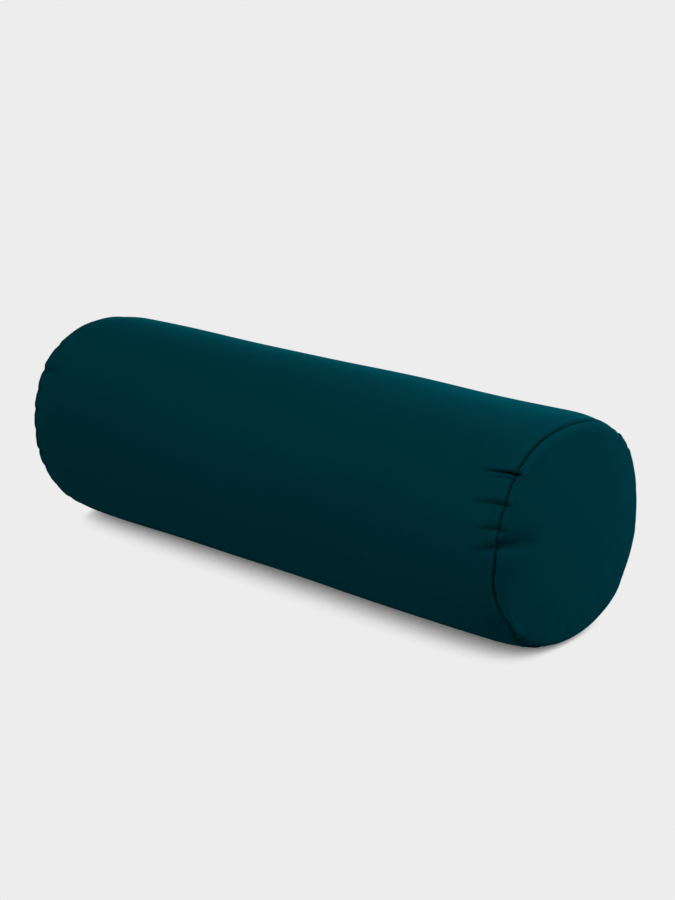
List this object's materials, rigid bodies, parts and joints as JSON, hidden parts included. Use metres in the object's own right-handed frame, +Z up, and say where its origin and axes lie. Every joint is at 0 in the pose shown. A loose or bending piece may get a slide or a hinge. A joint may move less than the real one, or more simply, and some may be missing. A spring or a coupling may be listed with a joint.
{
  "type": "bolster pillow",
  "caption": "Firm cylindrical bolster pillow with gently domed, seamed end panels, in a plain zipped cotton cover over a lined foam core.",
  "frame": {"origin": "on the floor, under the middle of the bolster", "axes": "+X along the bolster, +Y towards the zip side (the back), +Z up"},
  "size_m": [0.65, 0.2199, 0.216],
  "materials": {
    "cover_cotton": "fine plain-weave cotton, deep teal, matt with a faint bloom",
    "cover_thread": "polyester sewing thread, teal",
    "zip_tape": "herringbone woven polyester tape, teal",
    "zip_nylon": "dyed nylon coil, satin",
    "zip_metal": "nickel-plated die-cast zinc, softly worn",
    "liner_calico": "unbleached calico",
    "liner_thread": "undyed cotton thread",
    "wadding": "white polyester wadding",
    "foam": "pale yellow open-cell polyurethane foam"
  },
  "bodies": {
    "bolster": {"cover_wrap": "cover_cotton", "cover_end_left": "cover_cotton", "cover_end_right": "cover_cotton", "cover_seam_thread_left": "cover_thread", "cover_seam_thread_right": "cover_thread", "back_seam_thread": "cover_thread", "zip_tape_upper": "zip_tape", "zip_tape_lower": "zip_tape", "zip_teeth_upper": "zip_nylon", "zip_teeth_lower": "zip_nylon", "zip_topstitch_upper": "cover_thread", "zip_topstitch_lower": "cover_thread", "zip_top_stops": "zip_metal", "zip_bottom_stop": "zip_metal", "zip_bartacks": "cover_thread", "liner_wrap": "liner_calico", "liner_end_left": "liner_calico", "liner_end_right": "liner_calico", "liner_seam_thread_left": "liner_thread", "liner_seam_thread_right": "liner_thread", "wadding_wrap": "wadding", "wadding_end_left": "wadding", "wadding_end_right": "wadding", "foam_core": "foam"},
    "slider": {"zip_slider": "zip_metal"},
    "pull": {"zip_pull_tab": "zip_metal"}
  },
  "joints": [
    {"name": "slider_travel", "type": "slide", "parent": "bolster", "child": "slider", "axis": [1, 0, 0], "range_m": [0, 0.479]},
    {"name": "pull_swing", "type": "hinge", "parent": "slider", "child": "pull", "pos_m": [-0.2395, 0.10146, 0.05869], "axis": [0, 0.4226, 0.9063], "range_deg": [0, 165]}
  ]
}
